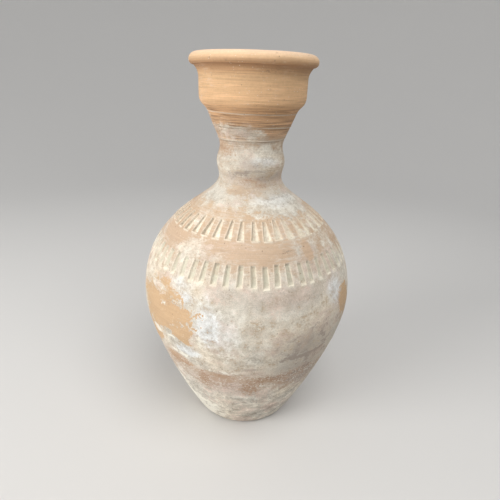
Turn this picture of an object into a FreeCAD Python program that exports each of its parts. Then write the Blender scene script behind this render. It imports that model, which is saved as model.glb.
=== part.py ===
import FreeCAD, Part
import math
import os

# A handleless storage amphora in fired clay, made the way a potter makes a tall jar: a base slab and
# five thrown sections are luted one on another along bevelled seams, and a rolled coil closes the lip.
# Millimetres.  +Z is up, and the origin is the centre of the resting face.

# Body
BASE_RADIUS = 63.5        # resting face
BELLY_RADIUS = 129.5      # widest ring
BELLY_HEIGHT = 178.0      # from the table to the widest ring
BODY_HEIGHT = 322.0       # from the table to the foot of the neck

# Neck, with its rounded collar
NECK_FOOT_RADIUS = 37.0
WAIST_RADIUS = 36.3       # the upper waist, under the mouth cup
COLLAR_STAND = 3.4        # how far the collar stands out past the upper waist
COLLAR_RISE = 16.5        # from the foot of the neck to the middle of the collar
NECK_HEIGHT = 34.5        # from the foot of the neck to its upper waist

# Mouth cup
CONE_HEIGHT = 34.5        # from the waist to the lower edge of the cup
CONE_SPREAD = 13.1        # how much wider the cone is at its top than at the waist
CUP_TURN = 20.0           # height over which the lower edge of the cup turns upright
CUP_SWELL = 9.8           # how far the cup stands out past the top of the cone
CUP_WALL_HEIGHT = 14.0    # upright part of the cup
LIP_FLARE = 12.0          # height over which the lip flares out under the rolled rim
LIP_STAND = 4.9           # how far the lip stands out past the cup

# Rolled rim
RIM_STAND = 5.0           # how far the rim stands out past the lip
RIM_HEIGHT = 13.0
RIM_SWELL = 5.5           # height above the lip where the rim is widest
RIM_CROWN_INSET = 8.6     # from the widest ring of the rim in to its highest

# Clay thickness
FLOOR = 10.0
BODY_WALL = 7.5
NECK_WALL = 7.5
CUP_WALL = 7.0
LIP_WALL = 8.1
SHOULDER_DROP = 4.5       # the hollow of the shoulder ends this far below the foot of the neck
CONE_LIFT = 4.0           # the hollow of the cup starts this far above the neck's upper waist

# Seams between the sections; the base slab is as thick as the floor and has a flat one
BODY_SEAM_DROP = 43.0     # seam of the two bowls, below the widest ring
NECK_SEAM_DROP = 11.0     # seam of the neck, below the foot of the neck
CUP_SEAM_RISE = 3.0       # seam of the mouth cup, above the neck's upper waist
BEVEL = math.radians(25.0)

# Two bands of gouged flutes: the drops are measured down from the foot of the neck
UPPER_BAND_TOP = 34.4
UPPER_BAND_DROP = 14.9
UPPER_FLUTES = 40
LOWER_BAND_TOP = 69.0
LOWER_BAND_DROP = 19.7
LOWER_FLUTES = 55
FLUTE_SHARE = 0.5         # width of a flute over the pitch of its band
FLUTE_DEPTH = 1.5

# Three thin wheel ridges round the cone, by their height above the neck's upper waist
RIDGE_RISES = (8.1, 21.5, 35.8)
RIDGE_ROUND = 1.2
RIDGE_STAND = 0.7         # how far a ridge stands out of the clay

# How the half section bends: how far a curve's handle reaches, as a share of the curve's rise or spread
HEEL_REACH = 0.125
HEEL_RISE = 0.042
BELLY_PULL_DOWN = 0.268
BELLY_PULL_UP = 0.715
SHOULDER_PULL = 0.205
COLLAR_PULL = 0.4
WAIST_PULL = 0.2
CONE_PULL = 0.5
TURN_LOW_PULL = 0.45
TURN_HIGH_PULL = 0.7
BORE_PULL = 0.42
LIP_LOW_PULL = 0.55
LIP_HIGH_PULL = 0.2
LIP_LEAN = 0.45
ROUND_PULL = 0.55
SLAB_EDGE_INSET = 0.3     # how far the floor's edge lies inside the base radius, in walls

# Radii and heights that follow from the sizes above
COLLAR_RADIUS = WAIST_RADIUS + COLLAR_STAND
CONE_TOP_RADIUS = WAIST_RADIUS + CONE_SPREAD
CUP_RADIUS = CONE_TOP_RADIUS + CUP_SWELL
LIP_RADIUS = CUP_RADIUS + LIP_STAND
MOUTH_RADIUS = LIP_RADIUS - LIP_WALL
RIM_RADIUS = LIP_RADIUS + RIM_STAND
RIM_CROWN_RADIUS = RIM_RADIUS - RIM_CROWN_INSET
WAIST = BODY_HEIGHT + NECK_HEIGHT
CONE_TOP = WAIST + CONE_HEIGHT
CUP_TOP = CONE_TOP + CUP_TURN + CUP_WALL_HEIGHT
LIP_TOP = CUP_TOP + LIP_FLARE
TOTAL_HEIGHT = LIP_TOP + RIM_HEIGHT
FAR = 2.0 * (BELLY_RADIUS + TOTAL_HEIGHT)

AXIS = FreeCAD.Vector(0, 0, 1)
HALVINGS = 50             # enough to find a height on a curve exactly


def at(radius, height):
    """A point of the half section."""
    return FreeCAD.Vector(radius, 0, height)


def curve(start, start_handle, end_handle, end):
    """A cubic curve from start to end, bent towards its two handles."""
    bezier = Part.BezierCurve()
    bezier.setPoles([start, start_handle, end_handle, end])
    return bezier


def upright(low, high, low_pull, high_pull):
    """A curve that leaves low and reaches high upright; the pulls are shares of the rise."""
    rise = high.z - low.z
    return curve(low, at(low.x, low.z + low_pull * rise), at(high.x, high.z - high_pull * rise), high)


def rounded(side, top):
    """A rounded edge: it leaves side upright and reaches top level; top may be the lower of the two."""
    return curve(side, at(side.x, side.z + ROUND_PULL * (top.z - side.z)),
                 at(top.x + ROUND_PULL * (side.x - top.x), top.z), top)


def lower_bowl(low, high):
    """The curve of the lower body: it leaves the base at an angle and reaches the belly upright."""
    rise = high.z - low.z
    heel = at(low.x + HEEL_REACH * (high.x - low.x), low.z + HEEL_RISE * rise)
    return curve(low, heel, at(high.x, high.z - BELLY_PULL_DOWN * rise), high)


def flare(low, high):
    """The curve of the lip: it leaves low upright and leans well out at high."""
    rise = high.z - low.z
    return curve(low, at(low.x, low.z + LIP_LOW_PULL * rise),
                 at(high.x - LIP_LEAN * (high.x - low.x), high.z - LIP_HIGH_PULL * rise), high)


def outer_spans():
    """The outside of the clay, from the resting face to the top of the lip."""
    belly = at(BELLY_RADIUS, BELLY_HEIGHT)
    foot = at(NECK_FOOT_RADIUS, BODY_HEIGHT)
    collar = at(COLLAR_RADIUS, BODY_HEIGHT + COLLAR_RISE)
    waist = at(WAIST_RADIUS, WAIST)
    cone_top = at(CONE_TOP_RADIUS, CONE_TOP)
    cup_low = at(CUP_RADIUS, CONE_TOP + CUP_TURN)
    cup_top = at(CUP_RADIUS, CUP_TOP)
    lean = CONE_SPREAD / CONE_HEIGHT
    cone_pull = CONE_PULL * CONE_HEIGHT
    turn_pull = TURN_LOW_PULL * CUP_TURN
    return [
        lower_bowl(at(BASE_RADIUS, 0), belly),
        upright(belly, foot, BELLY_PULL_UP, SHOULDER_PULL),
        upright(foot, collar, COLLAR_PULL, COLLAR_PULL),
        upright(collar, waist, COLLAR_PULL, COLLAR_PULL),
        curve(waist, at(waist.x, waist.z + WAIST_PULL * CONE_HEIGHT),
              at(cone_top.x - lean * cone_pull, cone_top.z - cone_pull), cone_top),
        curve(cone_top, at(cone_top.x + lean * turn_pull, cone_top.z + turn_pull),
              at(cup_low.x, cup_low.z - TURN_HIGH_PULL * CUP_TURN), cup_low),
        Part.LineSegment(cup_low, cup_top),
        flare(cup_top, at(LIP_RADIUS, LIP_TOP)),
    ]


def inner_spans():
    """The inside of the clay, from the floor to the top of the lip."""
    slab_edge = at(BASE_RADIUS - SLAB_EDGE_INSET * BODY_WALL, FLOOR)
    belly = at(BELLY_RADIUS - BODY_WALL, BELLY_HEIGHT)
    bore = WAIST_RADIUS - NECK_WALL
    bore_foot = at(bore, BODY_HEIGHT - SHOULDER_DROP)
    bore_top = at(bore, WAIST + CONE_LIFT)
    cup_low = at(CUP_RADIUS - CUP_WALL, CONE_TOP + CUP_TURN + CONE_LIFT)
    cup_top = at(cup_low.x, CUP_TOP)
    return [
        lower_bowl(slab_edge, belly),
        upright(belly, bore_foot, BELLY_PULL_UP, SHOULDER_PULL),
        Part.LineSegment(bore_foot, bore_top),
        upright(bore_top, cup_low, BORE_PULL, BORE_PULL),
        Part.LineSegment(cup_low, cup_top),
        flare(cup_top, at(MOUTH_RADIUS, LIP_TOP)),
    ]


def turned(spans):
    """The solid turned from a run of spans, closed to the axis at both ends."""
    low = spans[0].value(spans[0].FirstParameter)
    high = spans[-1].value(spans[-1].LastParameter)
    edges = [Part.makeLine(at(0, low.z), low)]
    edges += [span.toShape() for span in spans]
    edges += [Part.makeLine(high, at(0, high.z)), Part.makeLine(at(0, high.z), at(0, low.z))]
    return Part.Face(Part.Wire(edges)).revolve(FreeCAD.Vector(0, 0, 0), AXIS, 360)


def on_outside(height):
    """The point of the outside at a height, and the direction that points out of the clay there."""
    for span in outer_spans():
        low = span.value(span.FirstParameter).z
        high = span.value(span.LastParameter).z
        if low <= height <= high:
            break
    first = span.FirstParameter
    last = span.LastParameter
    for _ in range(HALVINGS):
        middle = 0.5 * (first + last)
        if span.value(middle).z < height:
            first = middle
        else:
            last = middle
    tangent = span.tangent(first)[0]
    return span.value(first), FreeCAD.Vector(tangent.z, 0, -tangent.x)


def bevelled(height):
    """The lean of a seam: square to the clay at a height, then tipped by the bevel."""
    _, out = on_outside(height)
    return math.atan2(out.z, out.x) - BEVEL


def above(height, lean):
    """Everything above the seam that meets the outside at a height, and leans out of the clay."""
    point, _ = on_outside(height)
    along = at(math.cos(lean), math.sin(lean))
    inner = point - along * (2.0 * BODY_WALL)
    outer = point + along * (0.5 * BODY_WALL)
    outline = [at(0, inner.z), inner, outer, at(FAR, outer.z), at(FAR, FAR), at(0, FAR)]
    face = Part.Face(Part.makePolygon(outline + outline[:1]))
    return face.revolve(FreeCAD.Vector(0, 0, 0), AXIS, 360)


def gouges(band_top, band_drop, count):
    """Round-bottomed cutters that lie along the clay, evenly spaced round a band."""
    high, _ = on_outside(BODY_HEIGHT - band_top)
    low, _ = on_outside(BODY_HEIGHT - band_top - band_drop)
    along = high - low
    out = FreeCAD.Vector(along.z, 0, -along.x).normalize()
    width = FLUTE_SHARE * math.pi * (high.x + low.x) / count
    radius = (0.25 * width ** 2 + FLUTE_DEPTH ** 2) / (2.0 * FLUTE_DEPTH)
    start = low + out * (radius - FLUTE_DEPTH)
    cutters = []
    for step in range(count):
        cutter = Part.makeCylinder(radius, along.Length, start, along)
        cutter.rotate(FreeCAD.Vector(0, 0, 0), AXIS, 360.0 * step / count)
        cutters.append(cutter)
    return cutters


def wheel_ridges():
    """The thin raised rings round the cone under the mouth cup."""
    rings = []
    for rise in RIDGE_RISES:
        point, out = on_outside(WAIST + rise)
        middle = point - out * (RIDGE_ROUND - RIDGE_STAND)
        ring = Part.makeTorus(middle.x, RIDGE_ROUND, FreeCAD.Vector(0, 0, middle.z), AXIS)
        rings.append(ring)
    return rings


def rolled_rim():
    """The coil that closes the lip: widest low down, and rounded over to the mouth."""
    widest = at(RIM_RADIUS, LIP_TOP + RIM_SWELL)
    crown = at(RIM_CROWN_RADIUS, TOTAL_HEIGHT)
    lip_outside = at(LIP_RADIUS, LIP_TOP)
    lip_inside = at(MOUTH_RADIUS, LIP_TOP)
    edges = [
        Part.makeLine(lip_inside, lip_outside),
        rounded(widest, lip_outside).toShape(),
        rounded(widest, crown).toShape(),
        rounded(lip_inside, crown).toShape(),
    ]
    return Part.Face(Part.Wire(edges)).revolve(FreeCAD.Vector(0, 0, 0), AXIS, 360)


def sections():
    """Every piece of clay, by name."""
    clay = turned(outer_spans()).cut(turned(inner_spans()))
    upper_band_foot = UPPER_BAND_TOP + UPPER_BAND_DROP
    seams = {
        "upper_bowl": BELLY_HEIGHT - BODY_SEAM_DROP,
        "shoulder": BODY_HEIGHT - 0.5 * (upper_band_foot + LOWER_BAND_TOP),
        "neck_with_collar": BODY_HEIGHT - NECK_SEAM_DROP,
        "mouth_cup": WAIST + CUP_SEAM_RISE,
    }
    over_slab = above(FLOOR, 0.0)
    pieces = {"base_slab": clay.cut(over_slab)}
    rest = clay.common(over_slab)
    name = "lower_bowl"
    for next_name, height in seams.items():
        upper_side = above(height, bevelled(height))
        pieces[name] = rest.cut(upper_side)
        rest = rest.common(upper_side)
        name = next_name
    pieces[name] = rest
    pieces["upper_bowl"] = pieces["upper_bowl"].cut(gouges(LOWER_BAND_TOP, LOWER_BAND_DROP, LOWER_FLUTES))
    pieces["shoulder"] = pieces["shoulder"].cut(gouges(UPPER_BAND_TOP, UPPER_BAND_DROP, UPPER_FLUTES))
    pieces["mouth_cup"] = pieces["mouth_cup"].fuse(wheel_ridges()).removeSplitter()
    pieces["rolled_rim"] = rolled_rim()
    return pieces


os.makedirs("parts", exist_ok=True)
for name, piece in sections().items():
    print(name, "solids", len(piece.Solids), "valid", piece.isValid(), "volume", round(piece.Volume))
    piece.Solids[0].exportStep(os.path.join("parts", name + ".step"))
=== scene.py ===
import math
from collections import namedtuple

import bmesh
import bpy
from mathutils import Matrix, Vector
from mathutils.geometry import interpolate_bezier


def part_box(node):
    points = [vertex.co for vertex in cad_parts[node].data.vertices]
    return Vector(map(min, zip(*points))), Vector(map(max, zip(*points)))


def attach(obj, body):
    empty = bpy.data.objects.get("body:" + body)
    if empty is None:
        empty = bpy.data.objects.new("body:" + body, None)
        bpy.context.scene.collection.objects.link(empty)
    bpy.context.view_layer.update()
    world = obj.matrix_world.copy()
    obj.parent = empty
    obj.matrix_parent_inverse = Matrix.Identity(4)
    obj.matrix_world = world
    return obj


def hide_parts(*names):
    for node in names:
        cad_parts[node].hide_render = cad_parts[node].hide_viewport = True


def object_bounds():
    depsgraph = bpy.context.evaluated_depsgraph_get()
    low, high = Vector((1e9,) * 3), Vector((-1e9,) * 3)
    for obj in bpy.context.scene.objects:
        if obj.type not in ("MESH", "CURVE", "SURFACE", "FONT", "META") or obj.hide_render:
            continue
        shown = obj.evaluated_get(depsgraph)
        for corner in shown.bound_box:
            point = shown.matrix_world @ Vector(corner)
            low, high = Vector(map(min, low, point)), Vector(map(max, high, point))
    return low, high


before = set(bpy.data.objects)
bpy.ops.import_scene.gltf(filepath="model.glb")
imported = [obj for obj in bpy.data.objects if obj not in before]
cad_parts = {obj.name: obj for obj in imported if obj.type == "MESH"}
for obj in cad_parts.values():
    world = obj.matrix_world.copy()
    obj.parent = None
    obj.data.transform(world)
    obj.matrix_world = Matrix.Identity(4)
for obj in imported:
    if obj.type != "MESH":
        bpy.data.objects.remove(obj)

CAD_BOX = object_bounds()

# ---------------------------------------------------------------------------------------------
# Sizes of the jar, in metres. Heights are above the table.
# ---------------------------------------------------------------------------------------------

FLOOR_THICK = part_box("base_slab")[1].z
BASE_RADIUS = 0.0635
HEEL_ROUND = 0.0045
BELLY_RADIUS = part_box("upper_bowl")[1].x
BELLY_HEIGHT = 0.178
BODY_HEIGHT = 0.322
NECK_FOOT_RADIUS = 0.037
COLLAR_HEIGHT = BODY_HEIGHT + 0.0165
COLLAR_RADIUS = 0.0397
WAIST_HEIGHT = BODY_HEIGHT + 0.0345
WAIST_RADIUS = 0.0363
CONE_TOP = WAIST_HEIGHT + 0.0345
CONE_TOP_RADIUS = 0.0494
CUP_LOW = CONE_TOP + 0.020
CUP_TOP = CUP_LOW + 0.014
CUP_RADIUS = 0.0592
LIP_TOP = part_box("mouth_cup")[1].z
LIP_RADIUS = 0.0641
MOUTH_RADIUS = 0.056
RIM_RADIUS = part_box("rolled_rim")[1].x
RIM_SWELL = LIP_TOP + 0.0055
RIM_CROWN_RADIUS = 0.0605
JAR_HEIGHT = CAD_BOX[1].z
WALL = 0.0075
CUP_WALL = 0.007
BORE_RADIUS = WAIST_RADIUS - WALL
BORE_FOOT = BODY_HEIGHT - 0.0045
BORE_TOP = WAIST_HEIGHT + 0.004
FUNNEL_TOP = CUP_LOW + 0.004
HOLLOW_FOOT_RADIUS = BASE_RADIUS - 0.3 * WALL

BODY_SEAM = BELLY_HEIGHT - 0.043
SHOULDER_SEAM = 0.26285
NECK_SEAM = BODY_HEIGHT - 0.011
CUP_SEAM = WAIST_HEIGHT + 0.003
SEAM_BEVEL = math.radians(25)

UPPER_BAND = (0.2727, 0.2876)
UPPER_FLUTES = 40
LOWER_BAND = (0.2333, 0.2530)
LOWER_FLUTES = 55
WHEEL_RIDGES = (WAIST_HEIGHT + 0.0081, WAIST_HEIGHT + 0.0215, WAIST_HEIGHT + 0.0358)

FINE_COLUMNS = 880        # a multiple of both flute counts
COARSE_COLUMNS = 440
SEED = 7

CURVE_POINTS = 160
SAME_POINT = 1e-7         # points closer than this count as one
HALF_STEP = 0.0005        # half of the span that shows which way a wall runs

# How far a curve's handles reach, as shares of the curve's run or rise.
BOWL_HEEL = (0.125, 0.042)
BOWL_PULL = 0.268
BODY_PULLS = (0.715, 0.205)
COLLAR_PULLS = (0.4, 0.4)
CONE_PULLS = (0.2, 0.5)
CUP_TURN_PULLS = (0.45, 0.7)
FUNNEL_PULLS = (0.42, 0.42)
LIP_PULL = 0.55
LIP_HANDLE = (0.45, 0.2)
CIRCLE_PULL = 0.55        # gives nearly a quarter of a circle


# ---------------------------------------------------------------------------------------------
# Node helpers: numbers with operators, and one call that adds any other node
# ---------------------------------------------------------------------------------------------

class Number:
    """A number in a node tree. Arithmetic on it adds Math nodes."""

    def __init__(self, graph, socket):
        self.graph = graph
        self.socket = socket

    def __add__(self, other):
        return self.graph.math("ADD", self, other)

    __radd__ = __add__

    def __sub__(self, other):
        return self.graph.math("SUBTRACT", self, other)

    def __rsub__(self, other):
        return self.graph.math("SUBTRACT", other, self)

    def __mul__(self, other):
        return self.graph.math("MULTIPLY", self, other)

    __rmul__ = __mul__

    def __truediv__(self, other):
        return self.graph.math("DIVIDE", self, other)

    def __rtruediv__(self, other):
        return self.graph.math("DIVIDE", other, self)

    def __mod__(self, other):
        return self.graph.math("MODULO", self, other)

    def __neg__(self):
        return self.graph.math("MULTIPLY", self, -1.0)

    def __abs__(self):
        return self.graph.math("ABSOLUTE", self)

    def floor(self):
        return self.graph.math("FLOOR", self)

    def least(self, other):
        return self.graph.math("MINIMUM", self, other)

    def most(self, other):
        return self.graph.math("MAXIMUM", self, other)

    def ramp(self, low, high):
        """0 up to low, 1 from high on, and a smooth rise between them."""
        settings = {"interpolation_type": "SMOOTHSTEP", "clamp": False}
        inputs = {"Value": self, "From Min": low, "From Max": high}
        return self.graph.number("ShaderNodeMapRange", settings, inputs, "Result")

    def bell(self, centre, width):
        """1 at centre, falling to nearly 0 two widths away."""
        offset = (self - centre) / width
        return self.graph.math("EXPONENT", -(offset * offset))


class Graph:
    """A node tree that nodes are added to."""

    def __init__(self, tree):
        self.tree = tree

    def add(self, kind, settings=None, inputs=None):
        """A new node with its settings, and the values or links of its sockets."""
        node = self.tree.nodes.new(kind)
        for name, value in (settings or {}).items():
            if name == "stops":
                self.set_stops(node.color_ramp, value)
            else:
                setattr(node, name, value)
        for key, value in (inputs or {}).items():
            if isinstance(value, Number):
                value = value.socket
            if isinstance(value, bpy.types.NodeSocket):
                self.tree.links.new(value, node.inputs[key])
            else:
                node.inputs[key].default_value = value
        return node

    @staticmethod
    def set_stops(ramp, stops):
        """Fill a ramp with places and values. A value that is one number is read from Alpha."""
        while len(ramp.elements) < len(stops):
            ramp.elements.new(1.0)
        for element, (place, value) in zip(ramp.elements, stops):
            element.position = place
            element.color = (*value, 1.0) if isinstance(value, tuple) else (value,) * 4

    def number(self, kind, settings=None, inputs=None, output=0):
        return Number(self, self.add(kind, settings, inputs).outputs[output])

    def math(self, operation, *values):
        return self.number("ShaderNodeMath", {"operation": operation}, dict(enumerate(values)))

    def random(self, item, seed, low, high):
        """A random number of its own for each item."""
        # The node has a Min and a Max for each kind of value. Numbers 2 and 3 are those of a float.
        inputs = {2: low, 3: high, "ID": item, "Seed": seed}
        return self.number("FunctionNodeRandomValue", {"data_type": "FLOAT"}, inputs, 1)


# ---------------------------------------------------------------------------------------------
# The half section of the jar
# ---------------------------------------------------------------------------------------------

def at(radius, height):
    return Vector((radius, 0.0, height))


def bend(start, start_handle, end_handle, end):
    return interpolate_bezier(start, start_handle, end_handle, end, CURVE_POINTS)


def upright(low, high, low_pull, high_pull):
    """A curve that leaves low and reaches high upright; the pulls are shares of the rise."""
    rise = high.z - low.z
    return bend(low, at(low.x, low.z + low_pull * rise), at(high.x, high.z - high_pull * rise), high)


def bowl(low, high):
    """The curve of the lower body."""
    rise = high.z - low.z
    heel = at(low.x + BOWL_HEEL[0] * (high.x - low.x), low.z + BOWL_HEEL[1] * rise)
    return bend(low, heel, at(high.x, high.z - BOWL_PULL * rise), high)


def flare(low, high):
    """The curve of the lip."""
    rise = high.z - low.z
    handle = at(high.x - LIP_HANDLE[0] * (high.x - low.x), high.z - LIP_HANDLE[1] * rise)
    return bend(low, at(low.x, low.z + LIP_PULL * rise), handle, high)


def rounded(side, top):
    """A rounded edge that leaves side upright and reaches top level; top may be the lower of the two."""
    return bend(side, at(side.x, side.z + CIRCLE_PULL * (top.z - side.z)),
                at(top.x + CIRCLE_PULL * (side.x - top.x), top.z), top)


def joined(*runs):
    """Runs of points as one line, with no point twice."""
    line = []
    for run in runs:
        for point in run:
            if not line or (point - line[-1]).length > SAME_POINT:
                line.append(point)
    return line


def outside_line():
    belly = at(BELLY_RADIUS, BELLY_HEIGHT)
    foot = at(NECK_FOOT_RADIUS, BODY_HEIGHT)
    collar = at(COLLAR_RADIUS, COLLAR_HEIGHT)
    waist = at(WAIST_RADIUS, WAIST_HEIGHT)
    cone_top = at(CONE_TOP_RADIUS, CONE_TOP)
    cup_low = at(CUP_RADIUS, CUP_LOW)
    cup_top = at(CUP_RADIUS, CUP_TOP)
    cone = cone_top.z - waist.z
    lean = (cone_top.x - waist.x) / cone
    turn = cup_low.z - cone_top.z
    return joined(
        bowl(at(BASE_RADIUS, 0.0), belly),
        upright(belly, foot, *BODY_PULLS),
        upright(foot, collar, *COLLAR_PULLS),
        upright(collar, waist, *COLLAR_PULLS),
        bend(waist, at(waist.x, waist.z + CONE_PULLS[0] * cone),
             at(cone_top.x - lean * CONE_PULLS[1] * cone, cone_top.z - CONE_PULLS[1] * cone), cone_top),
        bend(cone_top, at(cone_top.x + lean * CUP_TURN_PULLS[0] * turn,
                          cone_top.z + CUP_TURN_PULLS[0] * turn),
             at(cup_low.x, cup_low.z - CUP_TURN_PULLS[1] * turn), cup_low),
        [cup_low, cup_top],
        flare(cup_top, at(LIP_RADIUS, LIP_TOP)),
    )


def inside_line():
    slab_edge = at(HOLLOW_FOOT_RADIUS, FLOOR_THICK)
    belly = at(BELLY_RADIUS - WALL, BELLY_HEIGHT)
    bore_foot = at(BORE_RADIUS, BORE_FOOT)
    bore_top = at(BORE_RADIUS, BORE_TOP)
    cup_low = at(CUP_RADIUS - CUP_WALL, FUNNEL_TOP)
    cup_top = at(cup_low.x, CUP_TOP)
    return joined(
        bowl(slab_edge, belly),
        upright(belly, bore_foot, *BODY_PULLS),
        [bore_foot, bore_top],
        upright(bore_top, cup_low, *FUNNEL_PULLS),
        [cup_low, cup_top],
        flare(cup_top, at(MOUTH_RADIUS, LIP_TOP)),
    )


OUTSIDE = outside_line()
INSIDE = inside_line()


def on_line(line, height):
    """The point of a rising line at a height."""
    for low, high in zip(line, line[1:]):
        if low.z <= height <= high.z:
            return low.lerp(high, (height - low.z) / (high.z - low.z))
    return line[-1].copy()


def stretch(line, low, high):
    """The part of a rising line between two heights."""
    between = [point for point in line if low < point.z < high]
    return joined([on_line(line, low)], between, [on_line(line, high)])


def length(line):
    return sum((b - a).length for a, b in zip(line, line[1:]))


def spaced(line, spacing):
    """A line drawn again with evenly spaced points."""
    steps = max(1, round(length(line) / spacing))
    step = length(line) / steps
    points = [line[0]]
    walked = 0.0
    for a, b in zip(line, line[1:]):
        run = (b - a).length
        while walked + run >= step * len(points) and len(points) < steps:
            points.append(a.lerp(b, (step * len(points) - walked) / run))
        walked += run
    return points + [line[-1]]


def seam(height):
    """Both ends of a bevelled seam: on the outside at a height, and where it meets the hollow."""
    outer = on_line(OUTSIDE, height)
    along = on_line(OUTSIDE, height + HALF_STEP) - on_line(OUTSIDE, height - HALF_STEP)
    lean = math.atan2(-along.x, along.z) - SEAM_BEVEL
    square = at(-math.sin(lean), math.cos(lean))
    sides = [(point - outer).dot(square) for point in INSIDE]
    for a, b, side_a, side_b in zip(INSIDE, INSIDE[1:], sides, sides[1:]):
        if side_a <= 0.0 <= side_b:
            return outer, a.lerp(b, side_a / (side_a - side_b))
    raise ValueError(f"the seam at {height} m never meets the hollow")


# ---------------------------------------------------------------------------------------------
# Outlines of the pieces: closed loops of points, each with its way out of the clay
# ---------------------------------------------------------------------------------------------

def facing(line):
    """The way out of the clay at each point of a line that has the clay on its left."""
    ways = []
    for n in range(len(line)):
        along = line[min(n + 1, len(line) - 1)] - line[max(n - 1, 0)]
        ways.append(at(along.z, -along.x).normalized())
    return ways


def walked_from_base(line):
    """How far up the outside of the jar a line's points are."""
    start = length(stretch(OUTSIDE, 0.0, line[0].z)) if line[0].z > 0.0 else 0.0
    places = [start]
    for a, b in zip(line, line[1:]):
        places.append(places[-1] + (b - a).length)
    return places


def outline_object(name, outer, inner):
    """The loop of a piece: its outside going up, then its inside coming down."""
    points = outer + inner
    ways = facing(outer) + facing(inner)
    climbs = walked_from_base(outer) + [0.0] * len(inner)
    shown = [1.0] * len(outer) + [0.0] * len(inner)
    mesh = bpy.data.meshes.new(name)
    mesh.from_pydata(points, [], [])
    flat_ways = [number for way in ways for number in way]
    mesh.attributes.new("way_out", "FLOAT_VECTOR", "POINT").data.foreach_set("vector", flat_ways)
    mesh.attributes.new("climb", "FLOAT", "POINT").data.foreach_set("value", climbs)
    mesh.attributes.new("outside", "FLOAT", "POINT").data.foreach_set("value", shown)
    piece = bpy.data.objects.new(name, mesh)
    bpy.context.scene.collection.objects.link(piece)
    return piece, len(points)


def climb_of(height):
    """How far up the outside of the jar a height is."""
    return length(stretch(OUTSIDE, 0.0, height))


# ---------------------------------------------------------------------------------------------
# Geometry Nodes: a section turned from its outline, with its marks and gouges
# ---------------------------------------------------------------------------------------------

WHEEL_SPREAD = 0.35          # how much the wheel marks change round the jar
WOBBLE_SCALE = 9.0
DENT_SCALE = 70.0
RIDGE_HEIGHT = 0.0005
RIDGE_WIDTH = 0.0005
RIDGE_WANDER = 0.0007        # how far a ridge strays up and down on its way round
RIDGE_PHASE = 1.9            # turns each ridge's wander away from the last one's
HOLLOW_DEPTH = 0.0003        # the hollow that runs under each ridge
HOLLOW_WIDTH = 0.0008
HOLLOW_DROP = 0.0015
SEAM_SWELL = 0.0003          # the swelling left where two sections were luted
SEAM_SWELL_WIDTH = 0.003
MERGE_REACH = 0.00001
SHARP_EDGE = math.radians(55)

# Where a flute's wall, burrs and painted left-wall shade begin and end, or their middle and width, from
# its edges.
FLUTE_SIDE = (-0.0002, 0.0012)
FLUTE_END = (-0.0002, 0.0014)
SIDE_BURR = (-0.0004, 0.0009)
SIDE_BURR_END = (-0.001, 0.001)
SIDE_BURR_SHARE = 0.45
FOOT_BURR = (-0.0009, 0.0009)
FOOT_BURR_SIDE = (-0.0008, 0.0008)
LEFT_WALL_SHADE = (0.0005, 0.0005)
LEFT_WALL_SHADE_END = (-0.0002, 0.0012)

FLUTE_CHANCES = (
    (-0.07, 0.07),           # slip to one side, as a share of the pitch
    (-0.06, 0.05),           # tilt, as a share of the pitch over half a flute
    (-0.0008, 0.0008),       # drop, in metres
    (0.85, 1.15),            # width, as a share of the usual one
    (0.75, 1.2),             # depth, as a share of the usual one
)

THROWN_INPUTS = {
    "Outline Points": ("NodeSocketInt", 2),
    "Columns": ("NodeSocketInt", 88),
    "Seed": ("NodeSocketInt", SEED),
    "Wobble": ("NodeSocketFloat", 0.0005),
    "Wheel Marks": ("NodeSocketFloat", 0.00012),
    "Mark Spacing": ("NodeSocketFloat", 0.006),
    "Dents": ("NodeSocketFloat", 0.0002),
    "Flutes": ("NodeSocketFloat", 1.0),
    "Flute Low": ("NodeSocketFloat", 0.0),
    "Flute High": ("NodeSocketFloat", 0.0),
    "Flute Share": ("NodeSocketFloat", 0.5),
    "Flute Depth": ("NodeSocketFloat", 0.0),
    "Flute Lean": ("NodeSocketFloat", 0.4),
    "Flute Taper": ("NodeSocketFloat", 0.06),
    "Burr": ("NodeSocketFloat", 0.0),
    "Material": ("NodeSocketMaterial", None),
}


def sampled(g, outline, row, data_type, value):
    """A value of the outline at a row."""
    node = g.add("GeometryNodeSampleIndex", {"data_type": data_type},
                 {"Geometry": outline, "Value": value, "Index": row})
    return node.outputs["Value"]


def named(g, name, data_type):
    node = g.add("GeometryNodeInputNamedAttribute", {"data_type": data_type}, {"Name": name})
    return node.outputs["Attribute"]


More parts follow.
